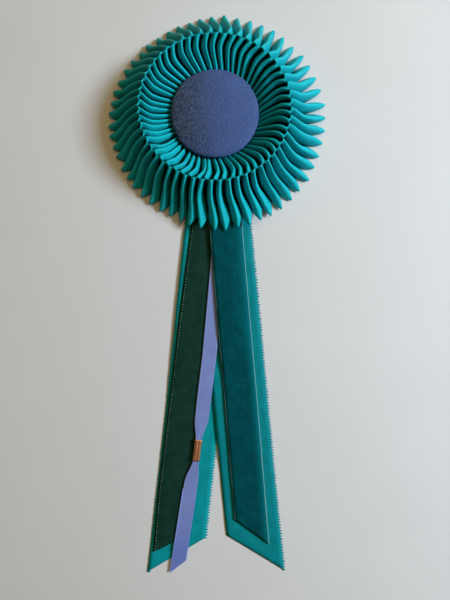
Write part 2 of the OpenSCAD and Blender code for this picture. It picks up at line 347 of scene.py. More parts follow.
def noise(place, scale, detail, rough=0.5):
    """A noise texture at a place, in the place's tree."""
    return add(place.tree, "ShaderNodeTexNoise",
               {"Vector": place, "Scale": scale, "Detail": detail, "Roughness": rough})


def mix(factor, a, b):
    """Colour a where the factor is 0 and b where it is 1."""
    return add(factor.tree, "ShaderNodeMix", {0: factor, 6: a, 7: b}, data_type="RGBA")[2]


SOCKET_KINDS = {float: "Float", int: "Int", tuple: "Vector"}


def node_group(kind, name, inputs, *outputs):
    """Makes a function that fills a tree into one that gives the finished node group, built once.

    inputs has each input's default or, as text, its kind of socket. What the function returns goes
    to the outputs, which are geometry or numbers, as the kind of tree is.
    """
    def wrap(fill):
        def group():
            if name in bpy.data.node_groups:
                return bpy.data.node_groups[name]
            tree = bpy.data.node_groups.new(name, kind + "NodeTree")
            sockets = tree.interface
            for label, value in inputs.items():
                plain = not isinstance(value, str)
                kind_of_input = SOCKET_KINDS[type(value)] if plain else value
                socket = sockets.new_socket(label, in_out="INPUT", socket_type="NodeSocket" + kind_of_input)
                if plain:
                    socket.default_value = value
            kind_of_output = "NodeSocketGeometry" if kind == "Geometry" else "NodeSocketFloat"
            for label in outputs:
                sockets.new_socket(label, in_out="OUTPUT", socket_type=kind_of_output)
            made = fill(tree, Signal(tree.nodes.new("NodeGroupInput").outputs[0]))
            end = tree.nodes.new("NodeGroupOutput")
            for socket, value in zip(end.inputs, made if isinstance(made, tuple) else (made,)):
                feed(socket, value)
            return tree
        return group
    return wrap


def finished(geometry, material):
    """The end of each pattern: smooth shading, real instances and the material."""
    soft = add(geometry.tree, "GeometryNodeSetShadeSmooth", {0: geometry})
    real = add(geometry.tree, "GeometryNodeRealizeInstances", {0: soft})
    return add(geometry.tree, "GeometryNodeSetMaterial", {"Geometry": real, "Material": material})


# ---- Finishes

@node_group("Shader", "Ribs and threads",
            {"Cloth": "Vector", "Rib pitch": 0.0006, "Thread pitch": 0.0003, "Thread share": 0.3},
            "Height", "Rib")
def ribs_group(tree, ins):
    """Fine ribs across a ribbon and threads along it, from its place on the flat cloth."""
    share = ins["Thread share"]
    wobble = noise(ins["Cloth"], 900.0, 1.0) * 0.00018
    place = add(tree, "ShaderNodeSeparateXYZ", {0: ins["Cloth"]})
    rib, thread = (((place[axis] + wobble) / ins[pitch] * FULL_TURN).maths("SINE")
                   .maths("MULTIPLY_ADD", 0.5, 0.5)
                   for axis, pitch in (("Y", "Rib pitch"), ("X", "Thread pitch")))
    return rib ** 0.7 + thread * share, rib * (1.0 - (1.0 - thread) * share)


@node_group("Shader", "Dye variation",
            {"Place": "Vector", "Large": 120.0, "Small": 1500.0, "Small share": 0.4}, "Factor")
def dye_group(tree, ins):
    """Slow and fast colour variation of dyed cloth, as one factor from 0 to 1."""
    large, small = noise(ins["Place"], ins["Large"], 3.0), noise(ins["Place"], ins["Small"], 2.0)
    both = add(tree, "ShaderNodeMix", {"Factor": ins["Small share"], "A": large, "B": small},
               data_type="FLOAT")
    return ramp(both, 0.3, 0.7)


@node_group("Shader", "Short nap", {"Place": "Vector", "Pile": 2600.0, "Brush": 260.0, "Stretch": 0.35},
            "Height", "Brushed")
def nap_group(tree, ins):
    """Short pile: a fine bristly height and a soft brushed mask."""
    stretch = add(tree, "ShaderNodeCombineXYZ", {0: 1.0, 1: ins["Stretch"], 2: 1.0})
    turned = add(tree, "ShaderNodeVectorRotate", {"Vector": ins["Place"], "Angle": 0.45},
                 rotation_type="Z_AXIS")
    strokes = add(tree, "ShaderNodeVectorMath", {0: turned, 1: stretch}, operation="MULTIPLY")
    return noise(ins["Place"], ins["Pile"], 2.0), noise(strokes, ins["Brush"], 4.0, 0.65)


@node_group("Shader", "Ribbon edges",
            {"Cloth": "Vector", "Width": 0.03, "Band": 0.001, "Full share": 0.7}, "Left", "Right")
def edge_group(tree, ins):
    """Masks for the two edges of a ribbon whose place across runs from 0 to its width."""
    across = add(tree, "ShaderNodeSeparateXYZ", {0: ins["Cloth"]})["X"]
    return tuple(ramp(place, ins["Band"] * ins["Full share"], ins["Band"], 1.0, 0.0, soft=True)
                 for place in (across, ins["Width"] - across))


def effect(group, place, **values):
    """Puts a shared group in place's tree. place feeds its first input, the values those they name."""
    named = {key.replace("_", " "): value for key, value in values.items()}
    return add(place.tree, "ShaderNodeGroup", {0: place, **named}, node_tree=group())


def new_material(name, **sockets):
    """A Principled material, its tree and its shader, with plain values set on the shader itself."""
    material = bpy.data.materials.new(name)
    material.use_nodes = True
    shader = material.node_tree.nodes["Principled BSDF"]
    for key, value in sockets.items():
        feed(shader.inputs[key.replace("_", " ")], value)
    return material, material.node_tree, shader


def shaded(colour, factor):
    """A lighter or darker colour, at most 1 in each channel."""
    return tuple(min(c * factor, 1.0) for c in colour[:3])


def bump(shader, height, strength, distance):
    """Gives the shader relief from a height, as deep as the distance in metres."""
    feed(shader.inputs["Normal"], add(height.tree, "ShaderNodeBump", {
        "Strength": strength, "Distance": distance, "Height": height}))


def ribbed_cloth(name, colour, rib_pitch=0.0006, depth=0.00012, sheen=0.04, rough=0.6, dark=0.75,
                 light=1.15, grooves=0.35, pleats=0.0, threads=(0.55, 0.3)):
    """Ribbed ribbon cloth: cross ribs, threads and dye variation, with painted shade in the rib grooves.

    On pleated cloth, painted shade darkens the slots and a painted highlight lies on the crests.
    threads: the threads' pitch as a share of the ribs' pitch, and their share of the relief.
    grooves: how strongly the painted shade darkens the rib grooves.
    pleats: how dark the painted shade in the slots gets.
    """
    material, tree, shader = new_material(
        name, Roughness=rough, Specular_IOR_Level=0.07, Sheen_Weight=sheen, Sheen_Roughness=0.4,
        Sheen_Tint=shaded(colour, 2.0))
    cloth = add(tree, "ShaderNodeUVMap", uv_map="weave")
    ribs = effect(ribs_group, cloth, Rib_pitch=rib_pitch, Thread_pitch=rib_pitch * threads[0],
                  Thread_share=threads[1])
    base = mix(effect(dye_group, cloth), shaded(colour, dark), shaded(colour, light))
    # Painted shade: the grooves between the ribs are darkened towards a third of the colour
    base = mix(ramp(ribs["Rib"], 0.0, 0.6, grooves, 0.0), base, shaded(colour, 0.3))
    if pleats:
        deep = add(tree, "ShaderNodeAttribute", attribute_name="groove")["Fac"]
        # Painted shade: deep in the pleats' slots the colour falls nearly to black
        base = mix(ramp(deep, 0.1, 0.5, 0.0, pleats, soft=True), base, shaded(colour, 0.03))
        # Painted highlight: on the crests the colour is pulled partly back to the plain colour, taking off
        # the rib shade
        base = mix(ramp(deep, 0.0, 0.04, 0.45, 0.0), base, shaded(colour, 1.0))
    feed(shader.inputs["Base Color"], base)
    bump(shader, ribs["Height"], 0.6, depth)
    return material


def button_cloth(colour):
    """Short brushed nap in dusty blue. Its left side, away from the key light, is painted darker and greyer
    as shade; pale frosted specks, strongest there, are partly worn pile and partly painted sheen.
    """
    # The two greys are the colours of the painted shade on the left; frost is the pale specks' colour
    shaded_side_dark, shaded_side_pale, frost = (0.028, 0.033, 0.046), (0.054, 0.063, 0.084), (0.19, 0.23, 0.36)
    material, tree, shader = new_material(
        "Brushed blue cloth", Roughness=0.9, Specular_IOR_Level=0.08, Sheen_Weight=0.05,
        Sheen_Roughness=0.5, Sheen_Tint=shaded(colour, 2.2))
    place = add(tree, "ShaderNodeTexCoord")["Object"]
    nap = effect(nap_group, place, Pile=2200.0, Brush=1000.0, Stretch=0.6)
    dye = effect(dye_group, place, Large=70.0, Small=900.0, Small_share=0.5)
    base = mix(dye, shaded(colour, 0.82), shaded(colour, 1.2))
    x = add(tree, "ShaderNodeSeparateXYZ", {0: place})["X"]
    # Painted shade: the left side, away from the key light, turns darker and greyer
    left = ramp(nap["Brushed"].maths("MULTIPLY_ADD", 0.016, x), 0.013, -0.016, soft=True)
    base = mix(left * 0.7, base, mix(dye, shaded_side_dark, shaded_side_pale))
    # Pale frosted specks, strongest on the left: partly worn pile, partly painted sheen
    wear_and_sheen = ramp(nap["Brushed"], 0.46, 0.66, 0.0, 0.7) * left.maths("MULTIPLY_ADD", 0.7, 0.3)
    feed(shader.inputs["Base Color"], mix(wear_and_sheen, base, frost))
    bump(shader, nap["Height"] * 0.6 + nap["Brushed"], 0.8, 0.001)
    return material


def velvet_cloth(colour, width):
    """Velvet: mottled brushed pile, lighter towards its right edge: a pale selvedge there, with painted
    light on the side towards the key light.
    """
    material, tree, shader = new_material(
        "Blue green velvet", Roughness=0.85, Specular_IOR_Level=0.02, Sheen_Weight=0.04,
        Sheen_Roughness=0.35, Sheen_Tint=shaded(colour, 3.0))
    cloth = add(tree, "ShaderNodeUVMap", uv_map="weave")
    nap = effect(nap_group, cloth, Pile=2400.0, Brush=240.0, Stretch=0.5)
    dye = effect(dye_group, cloth, Large=90.0, Small=700.0)
    base = mix(dye, shaded(colour, 0.7), shaded(colour, 1.3))
    base = mix(ramp(nap["Brushed"], 0.5, 0.8, 0.0, 0.55), base, shaded(colour, 1.9))
    # Lighter band at the right edge: the pale selvedge, widened by painted light from the key light's side
    band = effect(edge_group, cloth, Width=width, Band=0.0065, Full_share=0.05)
    base = mix(band["Right"] ** 1.3 * 0.6, base, shaded(colour, 2.4))
    feed(shader.inputs["Base Color"], base)
    bump(shader, nap["Height"] + nap["Brushed"], 0.45, 0.0004)
    return material


def satin_cloth(colour, width):
    """Smooth satin with long threads, a painted highlight along its rolled left edge, a darker right edge,
    and painted shade, darker and bluer, towards its free end.
    """
    # Colour of the painted shade, darker and bluer, towards the free end
    bluer = tuple(c * share for c, share in zip(colour, (0.76, 0.82, 0.99)))
    material, tree, shader = new_material(
        "Lavender satin", Roughness=0.42, Specular_IOR_Level=0.5, Sheen_Weight=0.2,
        Sheen_Roughness=0.3, Sheen_Tint=shaded(colour, 1.8))
    cloth = add(tree, "ShaderNodeUVMap", uv_map="weave")
    ribs = effect(ribs_group, cloth, Rib_pitch=0.00042, Thread_pitch=0.00033, Thread_share=0.9)
    dye = effect(dye_group, cloth, Large=80.0, Small=1400.0)
    base = mix(dye, shaded(colour, 0.85), shaded(colour, 1.12))
    edges = effect(edge_group, cloth, Width=width, Band=0.0011)
    # Painted highlight along the rolled left edge
    base = mix(edges["Left"] * 0.8, base, shaded(colour, 1.55))
    base = mix(edges["Right"] * 0.4, base, shaded(colour, 0.7))
    down = add(tree, "ShaderNodeSeparateXYZ", {0: cloth})["Y"]
    # Painted shade: towards its free end the satin turns darker and bluer
    feed(shader.inputs["Base Color"], mix(ramp(down, 0.262, 0.292), base, bluer))
    bump(shader, ribs["Height"], 0.35, 0.00006)
    return material


def worn_metal(name, colour, rough, lines=(1.0, 0.05, 1.0), scratch=1400.0, dark=0.55, darker=0.35):
    """Metal with fine lines along it, tarnish in patches and small bumps.

    lines: how closely the lines follow each other along X, Y and Z. dark: how much of the tarnish
    shows. darker: the tarnish's share of the colour.
    """
    material, tree, shader = new_material(name, Metallic=1.0)
    place = add(tree, "ShaderNodeTexCoord")["Object"]
    fine = noise(add(tree, "ShaderNodeMapping", {"Vector": place, "Scale": lines}), scratch, 3.0)
    dye = effect(dye_group, place, Large=260.0, Small=2200.0)
    tarnish = ramp(dye, 0.35, 0.9, 0.0, dark)
    feed(shader.inputs["Base Color"], mix(tarnish, colour, shaded(colour, darker)))
    feed(shader.inputs["Roughness"], fine.maths("MULTIPLY_ADD", 0.25, rough))
    bump(shader, fine, 0.4, 0.00008)
    return material


# ---- Frill

def pleat_module(half_columns, outer_rows, inner_rows):
    """One pleat, unrolled: x is the radius, y the place in pleats from -0.5 to 0.5, z the height.

    It runs from the tip over the ridge down to the hole. Its points carry marks for frill_tree: how
    far out or down they lie, and how much of each swing, bend and stretch they take; and for the
    cloth, how deep in its slot each lies, for the painted shade and painted highlight.
    """
    outer, inner = ([(i / rows) ** ROW_SPACING for i in range(first, rows + 1)]
                    for rows, first in ((outer_rows, 0), (inner_rows, 1)))
    table = [(True, row) for row in smooth_rows(PETAL_ROWS, outer)[::-1]]
    table += [(False, row) for row in smooth_rows(FUNNEL_ROWS, inner)]
    tip_r, ridge_r, hole_r = PETAL_ROWS[-1][1], PETAL_ROWS[0][1], FUNNEL_ROWS[-1][1]
    points, weave, marks = [], [], []
    along, last = 0.0, None
    for n, (outside, row) in enumerate(table):
        crest_r, crest_z, floor_r, floor_z, turn, lean, half, round_a, round_b = row
        crest, floor = np.array([crest_r, crest_z]), np.array([floor_r, floor_z])
        middle = (crest + floor) / 2
        along += 0 if last is None else float(np.linalg.norm(middle - last))
        last = middle
        half = min(half, WIDEST_ARCH)
        from_ridge = abs(n - outer_rows)
        reach = clamp((crest_r - ridge_r) / (tip_r - ridge_r)) if outside else 0
        inside = 0 if outside else clamp((crest_r - hole_r) / (ridge_r - hole_r))
        across, before = 0.0, None
        for j in range(-half_columns, half_columns + 1):
            side, step = (1 if j >= 0 else -1), abs(j)
            # Outside the arch stands in the middle, and inside half an arch stands at each side
            out_step = step if outside else half_columns - step
            flat = out_step == half_columns
            v = 1 if flat else math.sin(math.radians(90 * out_step / (half_columns - 1)))
            rise = 0 if flat else (1 - min(v, 1) ** round_a) ** round_b
            if outside:
                v *= side
                y = side * 0.5 if flat else v * half + lean * (1 - v * v)
            else:
                y = 0 if flat else side * 0.5 - side * v * half + lean * (1 - v * v)
            if not from_ridge:
                y = 0.5 * side * (step / half_columns)
                rise = 0.5 + 0.5 * math.cos(FULL_TURN * y)
                v = 2 * abs(y)
            spot = floor + (crest - floor) * rise
            here = np.array([spot[0] * PLEAT_ANGLE * y, *spot])
            across += 0 if before is None else float(np.linalg.norm(here - before))
            before = here
            points.append((spot[0] * MM, y, spot[1] * MM))
            weave.append((across * MM, along * MM))
            bell = 1 - v * v
            marks.append({
                "turn": math.radians(turn),
                "swirl": 0 if outside else math.radians(max(turn, 0)),
                "reach": reach,
                "depth": 0 if outside else 1 - inside,
                "stretch": 1 - reach / 2 if outside else inside,
                "low": (RIDGE_TOP - spot[1]) / PETAL_FALL if outside else 0,
                "notch": (1 - bell) * reach ** 3 if outside else 0,
                "bend": bell * (2.8 * reach * (1 - reach) if outside else 4 * inside * (1 - inside)),
                "narrow": -v * half * (1 - 0.6 * reach) if outside and not flat and from_ridge else 0,
                "point": 4 * abs(v) ** 1.25 * max(1 - abs(v), 0) * reach ** 3,
                "crest_share": bell * reach ** 0.8 if outside else 0,
                "slot_share": (1 - bell) * reach * 0.5 if outside else bell * (1 - inside) ** 0.5,
                # How deep the point lies in its slot, for the cloth's painted shade and painted highlight
                "groove": ((1 - clamp(rise)) ** 1.5 * ((0.78 - 0.4 * reach) if outside else 1)
                           * min(0.08 + from_ridge / 2.5, 1)),
            })
    module = mesh_object("pleat", points, grid_faces(len(table) - 1, 2 * half_columns), weave)
    for name in marks[0]:
        values = [mark[name] for mark in marks]
        module.data.attributes.new(name, "FLOAT", "POINT").data.foreach_set("value", values)
    return module


@node_group("Geometry", "Pleated ring",
            {"Pleat": "Geometry", "Petals": 55, "First petal": 0.0, "Tip swing": 0.07, "Ridge swing": 0.037,
             "Hole swing": -0.022, "Narrowing": 0.09, "Pointing": 0.0018, "Oval": 0.0009,
             "Tip shift": 0.001, "Lift": 0.0058, "Unevenness": 1.0, "Seed": 7, "Cloth": "Material"},
            "Frill")
def frill_tree(tree, ins):
    """Repeats one unrolled pleat and rolls the row of pleats up into a ring."""
    def mark(name, kind="FLOAT"):
        return add(tree, "GeometryNodeInputNamedAttribute", {"Name": name}, data_type=kind)

    def store(geometry, name, value, kind, domain):
        return add(tree, "GeometryNodeStoreNamedAttribute",
                   {"Geometry": geometry, "Name": name, "Value": value}, data_type=kind, domain=domain)

    def wave(angle, highest):
        """Cosine of an angle, at its highest at so many degrees."""
        return (angle + -math.radians(highest)).maths("COSINE")

    # The row of pleats, with the weave running on from one to the next
    line = add(tree, "GeometryNodeMeshLine", {"Count": ins["Petals"], "Offset": (0, 1, 0)})
    copies = add(tree, "GeometryNodeInstanceOnPoints", {"Points": line, "Instance": ins["Pleat"]})
    numbered = store(copies, "pleat", add(tree, "GeometryNodeInputIndex"), "FLOAT", "INSTANCE")
    real = add(tree, "GeometryNodeRealizeInstances", {0: numbered})
    step = add(tree, "ShaderNodeCombineXYZ", {"X": mark("pleat") * WEAVE_PER_PLEAT})
    cloth = add(tree, "ShaderNodeVectorMath", {0: mark("weave", "FLOAT_VECTOR"), 1: step},
                operation="ADD")
    woven = store(real, "weave", cloth, "FLOAT2", "CORNER")
    joined = add(tree, "GeometryNodeMergeByDistance", {"Geometry": woven, "Distance": 0.00001})

    # Each point's angle round the ring: its even place, then the swings of tips, ridge and hole
    place = add(tree, "ShaderNodeSeparateXYZ", {0: add(tree, "GeometryNodeInputPosition")})
    radius, pleat, height = place["X"], place["Y"], place["Z"]
    pitch = FULL_TURN / ins["Petals"]
    plain = pleat * pitch + ins["First petal"]
    reach = mark("reach")
    tips = reach * ins["Tip swing"] * wave(plain, 105)
    ridge = (1.0 - reach) * ins["Ridge swing"] * (wave(plain, 135) + wave(plain * 2.0, 270))
    hole = mark("depth") * ins["Hole swing"] * wave(plain, -25)
    angle = plain + (tips + ridge - hole) + mark("turn")
    angle = angle - mark("swirl") * (wave(plain, 320) * 0.2 + 0.15)
    lower_side = wave(plain, 262) * 0.5 + 0.5
    angle = mark("narrow") * (lower_side * ins["Narrowing"] * pitch) + angle

    def uneven(number, share, seed):
        """Three random numbers of the pleat with that number, weighted by a share."""
        value = add(tree, "FunctionNodeRandomValue",
                    {0: (-1, -1, -1), 1: (1, 1, 1), "ID": number.maths("FLOORED_MODULO", ins["Petals"]),
                     "Seed": ins["Seed"] + seed}, data_type="FLOAT_VECTOR")
        weighted = add(tree, "ShaderNodeVectorMath", {0: value, "Scale": share * ins["Unevenness"]},
                       operation="SCALE")
        return add(tree, "ShaderNodeSeparateXYZ", {0: weighted})

    outside = reach.maths("GREATER_THAN", 0.0)
    petal = uneven((pleat + 0.5).maths("FLOOR"), mark("crest_share"), 0)
    slot = uneven(pleat.maths("FLOOR"), mark("slot_share"), 40)
    bend = uneven((outside * 0.5 + pleat).maths("FLOOR"), mark("bend"), 80)
    for random, degrees in ((petal, PETAL_TURN), (slot, SLOT_TURN), (bend, BEND_TURN)):
        angle = random["X"] * math.radians(degrees) + angle

    # Its radius: tips and notches follow their tables, and the ring is slightly oval
    around = (angle / FULL_TURN).maths("FLOORED_MODULO", 1.0)

    def by_angle(table, share):
        curve = add(tree, "ShaderNodeFloatCurve", {"Value": around})
        mapping = curve.socket.node.mapping
        mapping.use_clip = False
        dots = mapping.curves[0].points
        while len(dots) < len(table):
            dots.new(0.5, 0.5)
        for dot, (degrees, more) in zip(dots, table):
            dot.location = (degrees / 360, 0.5 + more / REACH_SPAN)
        mapping.update()
        return (curve * (REACH_SPAN * MM) + -REACH_SPAN * MM / 2) * share

    more = by_angle(TIP_REACH, reach ** 2.0) + by_angle(NOTCH_REACH, mark("notch"))
    more = more - mark("point") * (lower_side ** 2.0 * ins["Pointing"])
    more = petal["Y"] * TIP_OFF + more
    oval = mark("stretch") * ins["Oval"] * (angle * 2.0).maths("COSINE")
    radius = radius + more + oval

    # Its height: the petals over the ribbons are lifted by them
    turned = (angle + math.radians(540 - RIBBONS_AT)).maths("FLOORED_MODULO", FULL_TURN)
    off = (turned - math.pi).maths("ABSOLUTE")
    over_ribbons = ramp(off, math.radians(30), math.radians(15), soft=True)
    height = height + mark("low") * ins["Lift"] * over_ribbons
    height = petal["Z"].maths("ABSOLUTE") * CREST_OFF + height
    height = slot["Z"] * SLOT_OFF + height

    x = radius * angle.maths("COSINE") + reach * ins["Tip shift"]
    ring = add(tree, "ShaderNodeCombineXYZ", {0: x, 1: radius * angle.maths("SINE"), 2: height})
    rolled = add(tree, "GeometryNodeSetPosition", {"Geometry": joined, "Position": ring})
    closed = add(tree, "GeometryNodeMergeByDistance", {"Geometry": rolled, "Distance": 0.000004})
    return finished(closed, ins["Cloth"])


class ROSETTE_OT_frill(bpy.types.Operator):
    """Builds the pleated frill from one pleat that is repeated round the ring"""
    bl_idname = "rosette.frill"
    bl_label = "Pleated frill"

    def execute(self, context):
        s = context.scene.rosette_frill
        cloth = ribbed_cloth("Pleated teal ribbon", s.colour, rib_pitch=0.00105, depth=0.00025, sheen=0.05,
                             rough=0.5, grooves=0.6, pleats=0.95, light=1.2, threads=(1.0, 0.6))
        frill = run_tree(pleat_module(half_columns=8, outer_rows=24, inner_rows=20), frill_tree(), {
            "Petals": s.petals, "First petal": s.first_petal, "Tip swing": s.swing,
            "Ridge swing": s.ridge_swing, "Unevenness": s.uneven, "Seed": s.seed, "Cloth": cloth},
            "frill_ring")
        thicken(frill, s.wall)
        dress(frill, "pleated_frill")
        return {"FINISHED"}


# ---- Button

# The button's plain back: radius and height, mm
BACK_PROFILE = [(0, 11.9), (7.6, 11.9), (7.6, 6.5), (7.2, 6.1), (0, 6.1)]


def lathe(name, profile, around):
    """A closed solid of revolution about Z from points (radius, height) in mm, from top to bottom."""
    points, faces, rings = [], [], []
    for r, z in profile:
        count = around if r else 1
        rings.append(range(len(points), len(points) + count))
        for k in range(count):
            a = FULL_TURN * k / around
            points.append((r * MM * math.cos(a), r * MM * math.sin(a), z * MM))
    for upper, lower in zip(rings, rings[1:]):
        for k in range(around):
            n = (k + 1) % around
            if len(upper) == 1:
                faces.append((upper[0], lower[k], lower[n]))
            elif len(lower) == 1:
                faces.append((upper[k], lower[0], upper[n]))
            else:
                faces.append((upper[k], lower[k], lower[n], upper[n]))
    return mesh_object(name, points, faces)


def point_places(mesh):
    """The places of a mesh's points, as one flat array."""
    places = np.empty(len(mesh.vertices) * 3)
    mesh.vertices.foreach_get("co", places)
    return places


def puff(piece, voxel, pressure, most, frames=20):
    """Fills a closed cloth cover: remesh, a short cloth simulation with pressure, movement capped."""
    scene = bpy.context.scene
    bpy.context.view_layer.objects.active = piece
    remesh = piece.modifiers.new("Even", "REMESH")
    remesh.mode = "VOXEL"
    remesh.voxel_size = voxel
    piece.data = evaluated_mesh(piece)
    piece.modifiers.clear()
    start = point_places(piece.data)
    cloth = piece.modifiers.new("Fill", "CLOTH")
    cloth.settings.use_pressure = True
    cloth.settings.uniform_pressure_force = pressure
    cloth.settings.effector_weights.gravity = 0
    cloth.settings.quality = 5
    cloth.point_cache.frame_start, cloth.point_cache.frame_end = 1, frames
    for step in range(1, frames + 1):
        scene.frame_set(step)
    filled = evaluated_mesh(piece)
    move = (point_places(filled) - start).reshape(-1, 3)
    far = np.linalg.norm(move, axis=1, keepdims=True)
    move *= np.minimum(1, most / np.maximum(far, 1e-9))
    piece.modifiers.clear()
    piece.data = filled
    filled.vertices.foreach_set("co", (start.reshape(-1, 3) + move).ravel())
    filled.polygons.foreach_set("use_smooth", [True] * len(filled.polygons))
    filled.update()
    scene.frame_set(1)


class ROSETTE_OT_button(bpy.types.Operator):
    """Builds the padded button and its plain back"""
    bl_idname = "rosette.button"
    bl_label = "Covered button"

    def execute(self, context):
        s = context.scene.rosette_button
        edge, dome, out = s.edge_height / MM, s.dome / MM, s.radius / MM
        # Remesh and subdivision take a little off all round, so the profile starts larger
        extra = 0.6
        rim, fullness, steps = 0.4, 2.3, 12  # rim over the widest line in mm, and the dome's curve
        profile = [(0, edge + dome + extra)]
        for i in range(1, steps + 1):
            a = i / steps
            profile.append(((out + extra) * a,
                            edge + rim + (dome - rim + extra) * (1 - a ** fullness)))
        profile += [(out + extra - 0.1, edge - 1.0), (out + extra - 1.0, edge - 2.6),
                    (25.6 + extra, 13.2), (24.0 + extra, 11.6 - extra), (20, 11.5 - extra),
                    (0, 11.5 - extra)]
        cover = lathe("button_cover", profile, 96)
        puff(cover, voxel=0.0022, pressure=4.0, most=0.0009)
        round_off = cover.modifiers.new("Round", "SUBSURF")
        round_off.levels = round_off.render_levels = 1
        dress(cover, "covered_button", button_cloth(s.colour))
        back = lathe("button_back", BACK_PROFILE, 48)
        dress(back, "covered_button",
              worn_metal("Dull button shank", (0.4, 0.4, 0.41), 0.4))
        return {"FINISHED"}


# ---- Ribbons. Lines: y and x (and width) of the middle in mm. Lies: y and height of the underside.
# Drops: how much lower than the line's last point the left and the right corner end

def level(n):
    """Height of the nth layer of ribbon over the floor, in mm."""
    return n * 1.2


ON_PLATE = 5.9  # height of the lowest ribbon where it lies on the pin back's plate, mm
CLEAR = 0.15  # gap under each ribbon, mm
LEFT_TAIL = {
    "line": [(-10, 4.2), (-70, -2.5), (-110, -6.55), (-184, -14.4), (-288, -26)],
    "lie": [(-10, ON_PLATE), (-27, ON_PLATE), (-48, 0), (-320, 0)],
    "drops": (11.5, -11)}
RIGHT_TAIL = {
    "line": [(-10, 1.2), (-66, 5.3), (-90, 7.3), (-116, 10.1), (-184, 16.3), (-255, 23.2),
             (-286.8, 26.6)],
    "lie": [(-10, ON_PLATE + level(1)), (-27, ON_PLATE + level(1)), (-48, level(1)), (-211, level(1)),
            (-230, 0), (-320, 0)],
    "drops": (-11.5, 11.5)}
GREEN = {
    "line": [(-50, -2.2), (-66, -4.1), (-98, -8.2), (-125, -11.9), (-184, -19.1), (-250, -27.1),
             (-279, -29.4)],
    "lie": [(-50, level(2)), (-165, level(2)), (-192, level(1)), (-320, level(1))],
    "drops": (6.7, -8.1)}
VELVET = {
    "line": [(-50, 5.4), (-70, 7.0), (-107, 10.1), (-141, 13.0), (-184, 16.9), (-272.4, 24.3)],
    "lie": [(-50, level(4)), (-142, level(4)), (-166, level(2)), (-211, level(2)), (-230, level(1)),
            (-320, level(1))],
    "drops": (-8, 8)}
LAVENDER = {
    "line": [(-52, 5.3, 9.4), (-90, 1.9, 9.4), (-155, -4, 9.4), (-184, -7.6, 9.4), (-200, -9.5, 8.9),
             (-209.4, -11.0, 3.4), (-225.3, -12.9, 3.4), (-236, -15.8, 8.8), (-252, -18.1, 9.4),
             (-295.5, -24.9, 9.4)],
    "lie": [(-52, level(3)), (-165, level(3)), (-192, level(2)), (-202, level(2)),
            (-209.4, level(2) + 0.7), (-225.3, level(2) + 0.7), (-238, level(2)), (-278, level(2)),
            (-291, level(1) + 0.1), (-320, 0.6)],
    "drops": (4.2, -4.2)}
LEFT_TAIL_RISES = [(-60, 0.8), (-85, 0.9), (-101, 1.2), (-134, 1.05), (-151, 0.8), (-168, 0.4),
                   (-190, 0), (-320, 0)]


def along_table(table, column, y, soften=5.0):
    """A table's column at y (tables run downwards), averaged over a short stretch for soft bends."""
    ys, values = [-row[0] for row in table], [row[column] for row in table]
    total, each_way = 0.0, 3
    for k in range(-each_way, each_way + 1):
        p = -y + soften * k / each_way
        if p > ys[-1]:
            slope = (values[-1] - values[-2]) / (ys[-1] - ys[-2])
            total += values[-1] + slope * (p - ys[-1])
        else:
            total += float(np.interp(p, ys, values))
    return total / (2 * each_way + 1)


def soft_step(v, start, end):
    """0 before start and 1 past end, with a soft step between."""
    u = clamp((v - start) / (end - start))
    return u * u * (3 - 2 * u)


def left_tail_rise(y, v):
    """The left tail stands off the floor along its left edge, under the green ribbon."""
    return along_table(LEFT_TAIL_RISES, 1, y) * soft_step(-v, 0.35, 1)


def green_sag(y, v):
    """The green ribbon's free left side lies down on the left tail."""
    free = 0.45 + 1.1 * soft_step(y, -190, -165)
    return -(free - left_tail_rise(y, -0.85)) * soft_step(-v, 0.4, 1)


def velvet_sag(y, v):
    """The velvet's right side comes down from the layers below it onto the right tail."""
    return (-(0.5 + 1.9 * soft_step(y, -166, -142)) * soft_step(y, -228, -212)
            * soft_step(v, 0.0, 1))


def crimp_gathers(y, v):
    """Height of the folds where the crimp gathers the lavender ribbon."""
    middle, full, fade = -217.4, 8, 13  # the crimp's middle; where the folds are whole and fade, mm
    near = max(0.0, 1 - max(abs(y - middle) - full, 0) / fade) ** 2
    return 0.17 * near * math.cos(FULL_TURN * 1.1 * v + 0.9) + 0.1 * near


def ribbon_sheet(name, plan, width, wall, rows, columns, ripple=0.12, shape=None, bulge=0.0, waves=3.1):
    """A ribbon that lies along its line and is cut on a slope, with its wall; also its two edges.

    ripple: height of its waves, mm. shape: more height, from y in mm and v, -1 to 1 across the
    ribbon. bulge: how far the middle of its end reaches out, mm. waves: how close its waves are.
    """
    line, lie, drops = plan["line"], plan["lie"], plan["drops"]
    widths = line if len(line[0]) > 2 else [(*row, width / MM) for row in line]
    top, end = line[0][0], line[-1][0]
    points, weave = [], []
    for i in range(rows + 1):
        for j in range(columns + 1):
            v = -1 + 2 * j / columns
            stop = end - (drops[0] * (1 - v) + drops[1] * (1 + v)) / 2 - bulge * (1 - v * v)
            y = top + (stop - top) * (i / rows)
            x0, x1 = along_table(line, 1, y + 1), along_table(line, 1, y - 1)
            slope = (x0 - x1) / 2
            long = math.sqrt(1 + slope * slope)
            across = v * (along_table(widths, 2, y, 3.0) / 2)
            x = (x0 + x1) / 2 + across * long
            z = along_table(lie, 1, y, 4.0) + CLEAR + wall / MM / 2
            z += ripple * (0.5 + 0.5 * math.sin(y / 17 * waves + 1.3 * v + waves)) * (0.4 + 0.6 * v * v)
            z += shape(y, v) if shape else 0
            points.append((x * MM, y * MM, z * MM))
            weave.append(((across + width / MM / 2) * MM, (-y * long + across * slope) * MM))
    piece = mesh_object(name, points, grid_faces(rows, columns, flip=True), weave)
    thicken(piece, wall, offset=0.0)
    return piece, {"left": points[::columns + 1], "right": points[columns::columns + 1]}


